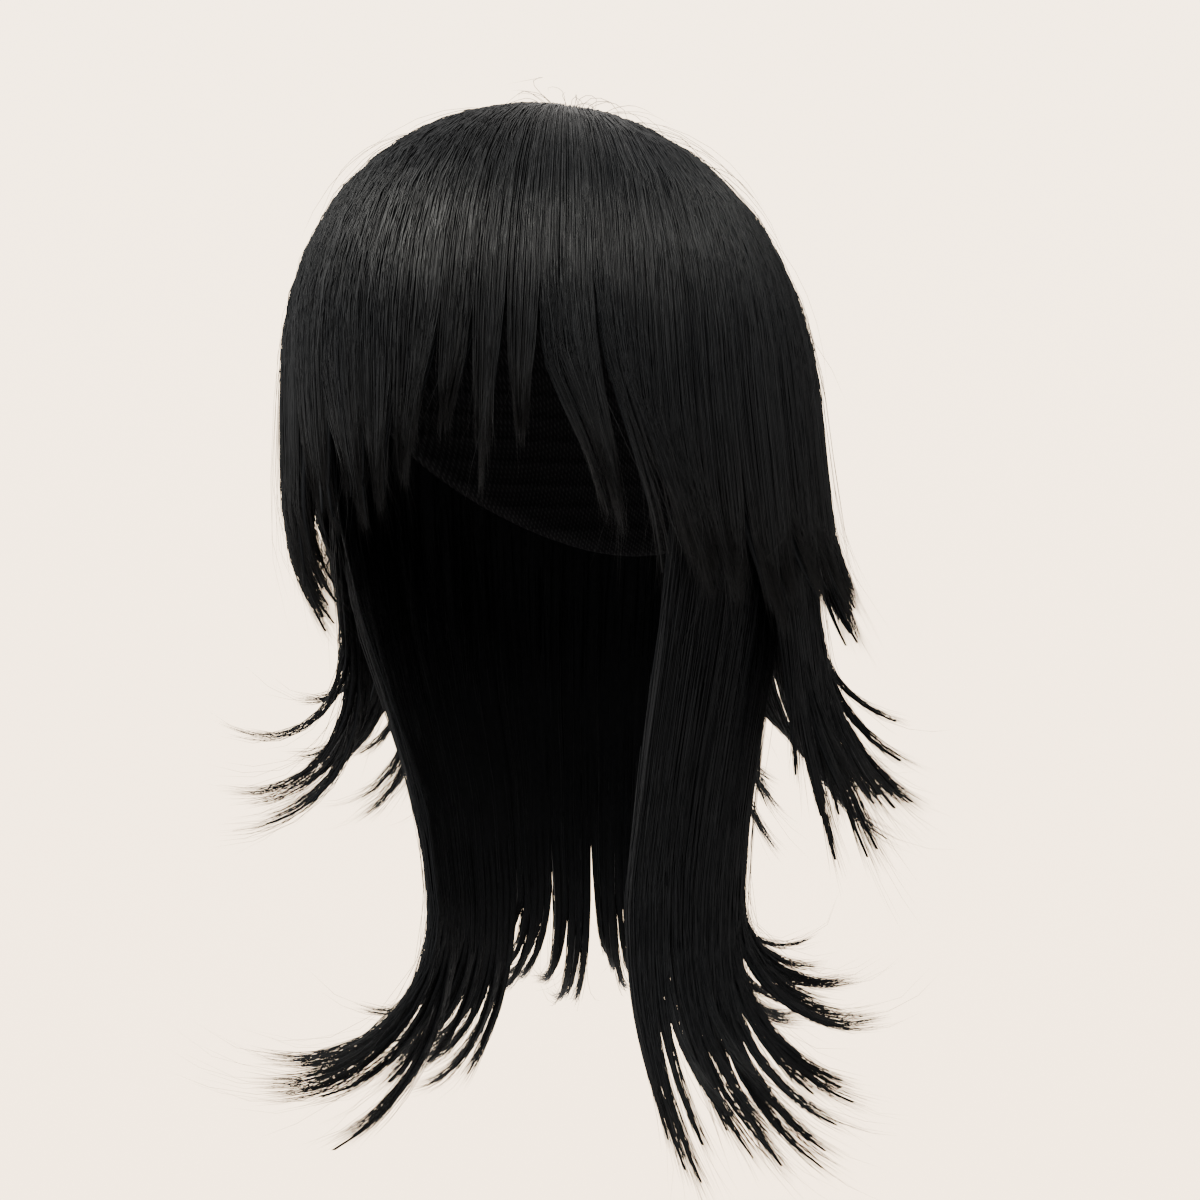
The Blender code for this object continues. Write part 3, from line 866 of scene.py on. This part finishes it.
class WigHair(bpy.types.PropertyGroup):
    """How the strands are laid."""

    top_strands: IntProperty(name="Top strands", description="Strands in the top tier", default=9400)
    middle_strands: IntProperty(name="Middle strands", description="Strands in the middle tier", default=3500)
    nape_strands: IntProperty(name="Nape strands", description="Strands in the nape tier", default=4400)
    strand_width: FloatProperty(name="Strand width", description="Thickness of a strand",
                                default=0.00042, unit="LENGTH")
    tufts: IntProperty(name="Tufts", description="Tufts that each lock splits into", default=5)
    stray_share: FloatProperty(name="Strays", description="Share of strands that leave their tuft",
                               default=0.05, subtype="FACTOR")
    wisp_share: FloatProperty(name="Wisps", description="Share of fine strands that reach past their tuft",
                              default=0.07, subtype="FACTOR")
    flyaway_share: FloatProperty(name="Flyaways", description="Share of short strands that stand off",
                                 default=0.012, subtype="FACTOR")
    stray_lift: FloatProperty(name="Stray lift", description="How far a stray stands off",
                              default=0.008, unit="LENGTH")
    inner_share: FloatProperty(name="Inner strands", description="Share of strands on the inner face",
                               default=0.18, subtype="FACTOR")
    outer_depth: FloatProperty(name="Layering", description="How deep the outer strands lie, as a share",
                               default=0.30, subtype="FACTOR")


class WigLook(bpy.types.PropertyGroup):
    """Colours and finishes."""

    hair_dark: FloatVectorProperty(name="Dark hair", description="Colour of the darkest strands",
                                   default=(0.0010, 0.0012, 0.0016), subtype="COLOR")
    hair_light: FloatVectorProperty(name="Light hair", description="Colour of the lightest strands",
                                    default=(0.0052, 0.0056, 0.0062), subtype="COLOR")
    hair_tip: FloatVectorProperty(name="Tips", description="Colour of thin tips",
                                  default=(0.009, 0.0085, 0.008), subtype="COLOR")
    hair_roughness: FloatProperty(name="Hair roughness", description="Roughness of a strand",
                                  default=0.32, subtype="FACTOR")
    hair_gloss: FloatProperty(name="Hair gloss", description="Strength of a strand's shine",
                              default=0.065, subtype="FACTOR")
    net_dark: FloatVectorProperty(name="Net", description="Colour of the cap's net",
                                  default=(0.0025, 0.0025, 0.003), subtype="COLOR")
    net_light: FloatVectorProperty(name="Net yarn", description="Colour of the cap's yarns",
                                   default=(0.014, 0.014, 0.015), subtype="COLOR")
    mass_depth: FloatProperty(name="Mass depth", description="How deep the mass lies at its tips, as a share",
                              default=0.28, subtype="FACTOR")
    mass_reach: FloatProperty(name="Mass reach", description="Share of a free end that the mass fills",
                              default=0.98, subtype="FACTOR")


class WigStudio(bpy.types.PropertyGroup):
    """Camera, backdrop and lamps."""

    azimuth: FloatProperty(name="Azimuth", description="Camera's angle from the front",
                           default=math.radians(23), subtype="ANGLE")
    distance: FloatProperty(name="Distance", description="Camera's distance", default=0.85, unit="LENGTH")
    view_width: FloatProperty(name="View width", description="Width in view at the wig",
                              default=0.450, unit="LENGTH")
    view_aside: FloatProperty(name="View aside", description="How far right of the origin the view aims",
                              default=0.0165, unit="LENGTH")
    view_height: FloatProperty(name="View height", description="Height that the view aims at",
                               default=-0.172, unit="LENGTH")
    wall_high: FloatVectorProperty(name="Wall", description="Colour high on the backdrop",
                                   default=(1.00, 0.81, 0.60), subtype="COLOR")
    # Painted shade: the darker colour that the backdrop is painted towards the floor
    wall_shaded: FloatVectorProperty(name="Floor", description="Colour low on the backdrop",
                                  default=(0.92, 0.70, 0.48), subtype="COLOR")
    wall_glow: FloatProperty(name="Backdrop brightness", description="How bright the backdrop looks",
                             default=5.8)
    room_radius: FloatProperty(name="Room radius", description="Radius of the round backdrop", default=3.0,
                               unit="LENGTH")
    floor_height: FloatProperty(name="Floor height", description="Height of the studio floor",
                                default=-1.2, unit="LENGTH")
    room_colour: FloatVectorProperty(name="Room", description="Colour of the even light",
                                     default=(0.90, 0.86, 0.82), subtype="COLOR")
    room_light: FloatProperty(name="Room light", description="Strength of the even light", default=2.9)
    key_light: FloatProperty(name="Key light", description="Power of the lamp overhead", default=225.0,
                             subtype="POWER")
    side_light: FloatProperty(name="Side light", description="Power of the lamp at the side", default=8.0,
                              subtype="POWER")


# Operators


class WigCap(bpy.types.Operator):
    """Build the stretch cap that the hair is sewn on"""

    bl_idname = "wig.cap"
    bl_label = "Cap"

    def execute(self, context):
        build_cap(context.scene.wig_look)
        return {"FINISHED"}


class WigTopTier(bpy.types.Operator):
    """Build the fringe, the side hair and the back hair, which fall from the whorl"""

    bl_idname = "wig.top_tier"
    bl_label = "Top tier"

    def execute(self, context):
        total = context.scene.wig_hair.top_strands
        counts = {node: round(total * share) for node, share in TOP_SHARES.items()}
        build_tier(TOP, TOP_LOCKS, counts, context.scene)
        return {"FINISHED"}


class WigMiddleTier(bpy.types.Operator):
    """Build the second tier, which flips out at the jaw"""

    bl_idname = "wig.middle_tier"
    bl_label = "Middle tier"

    def execute(self, context):
        counts = evenly(context.scene.wig_hair.middle_strands, MID_NODES)
        build_tier(MID, MID_LOCKS, counts, context.scene)
        return {"FINISHED"}


class WigNapeTier(bpy.types.Operator):
    """Build the long third tier, which draws in at the nape and flips out at the bottom"""

    bl_idname = "wig.nape_tier"
    bl_label = "Nape tier"

    def execute(self, context):
        counts = evenly(context.scene.wig_hair.nape_strands, NAPE_NODES)
        build_tier(NAPE, NAPE_LOCKS, counts, context.scene)
        return {"FINISHED"}


class WigStage(bpy.types.Operator):
    """Build the round studio, its lamps and the camera"""

    bl_idname = "wig.stage"
    bl_label = "Stage"

    def execute(self, context):
        studio = context.scene.wig_studio
        build_backdrop(studio, backdrop_material(studio))
        build_lamps(studio)
        build_camera(studio)
        return {"FINISHED"}


def build_backdrop(studio, material):
    """A round pale floor that curves up into a wall. It is only looked at, and lights nothing."""
    shape = bmesh.new()
    radius, floor = studio.room_radius, studio.floor_height
    flat = radius - WALL_BEND
    profile = [(0.0, floor), (flat, floor)]
    for step in range(1, BEND_STEPS + 1):
        turn = math.pi / 2 * step / BEND_STEPS
        profile.append((flat + WALL_BEND * math.sin(turn), floor + WALL_BEND * (1 - math.cos(turn))))
    profile.append((radius, WALL_TOP))
    corners = [shape.verts.new((x, 0, z)) for x, z in profile]
    edges = [shape.edges.new(pair) for pair in zip(corners, corners[1:])]
    bmesh.ops.spin(shape, geom=corners + edges, cent=(0, 0, 0), axis=(0, 0, 1), angle=2 * math.pi,
                   steps=ROOM_STEPS, use_merge=True)
    bmesh.ops.remove_doubles(shape, verts=shape.verts, dist=ROOM_WELD)
    bmesh.ops.recalc_face_normals(shape, faces=shape.faces)
    mesh = mesh_of(shape, "studio_backdrop")
    mesh.materials.append(material)
    backdrop = bpy.data.objects.new("studio_backdrop", mesh)
    bpy.context.scene.collection.objects.link(backdrop)
    for kind in ("diffuse", "glossy", "transmission", "volume_scatter", "shadow"):
        setattr(backdrop, f"visible_{kind}", False)


def aim(thing, target):
    """Turns a lamp or camera towards a point."""
    direction = np.array(target) - np.array(thing.location)
    across = math.hypot(direction[0], direction[1])
    thing.rotation_euler = (math.atan2(across, -direction[2]), 0, math.atan2(-direction[0], direction[1]))


def add_lamp(name, kind, power):
    """Adds a round soft lamp that is turned towards the wig."""
    lamp = bpy.data.lights.new(name, "AREA")
    lamp.shape, lamp.size, lamp.energy, lamp.color = "DISK", kind.size, power, kind.colour
    thing = bpy.data.objects.new(name, lamp)
    thing.location = kind.place
    aim(thing, LAMP_AIM)
    bpy.context.scene.collection.objects.link(thing)


def build_lamps(studio):
    """Even room light, a lamp overhead in front, and a weaker one at the side."""
    world = bpy.data.worlds.new("studio_light")
    world.use_nodes = True
    ground = world.node_tree.nodes["Background"]
    ground.inputs["Color"].default_value = (*studio.room_colour, 1)
    ground.inputs["Strength"].default_value = studio.room_light
    bpy.context.scene.world = world
    add_lamp("key_lamp", KEY_LAMP, studio.key_light)
    add_lamp("side_lamp", SIDE_LAMP, studio.side_light)


def build_camera(studio):
    """The camera, level and turned to the wearer's left."""
    camera = bpy.data.cameras.new("camera")
    thing = bpy.data.objects.new("camera", camera)
    bpy.context.scene.collection.objects.link(thing)
    side, front = math.cos(studio.azimuth), math.sin(studio.azimuth)
    target = (side * studio.view_aside, front * studio.view_aside, studio.view_height)
    thing.location = (target[0] + front * studio.distance, target[1] - side * studio.distance, target[2])
    aim(thing, target)
    camera.lens = camera.sensor_width * studio.distance / studio.view_width
    camera.clip_start = NEAREST_VIEW
    bpy.context.scene.camera = thing


class WigPanel(bpy.types.Panel):
    """Buttons and values in the 3D view's sidebar"""

    bl_idname = "VIEW3D_PT_wig"
    bl_label = "Mullet wig"
    bl_space_type = "VIEW_3D"
    bl_region_type = "UI"
    bl_category = "Wig"

    def draw(self, context):
        for operator in OPERATORS:
            self.layout.operator(operator.bl_idname)
        for name in GROUPS:
            group = getattr(context.scene, name)
            for key in group.__annotations__:
                self.layout.prop(group, key)


OPERATORS = (WigCap, WigTopTier, WigMiddleTier, WigNapeTier, WigStage)
GROUPS = {"wig_hair": WigHair, "wig_look": WigLook, "wig_studio": WigStudio}


def register():
    for item in (*GROUPS.values(), *OPERATORS, WigPanel):
        bpy.utils.register_class(item)
    for name, group in GROUPS.items():
        setattr(bpy.types.Scene, name, PointerProperty(type=group))


def unregister():
    for name in GROUPS:
        delattr(bpy.types.Scene, name)
    for item in reversed((*GROUPS.values(), *OPERATORS, WigPanel)):
        bpy.utils.unregister_class(item)


def main():
    register()
    bpy.ops.wig.cap()
    bpy.ops.wig.top_tier()
    bpy.ops.wig.middle_tier()
    bpy.ops.wig.nape_tier()
    bpy.ops.wig.stage()


if __name__ == "__main__":
    main()
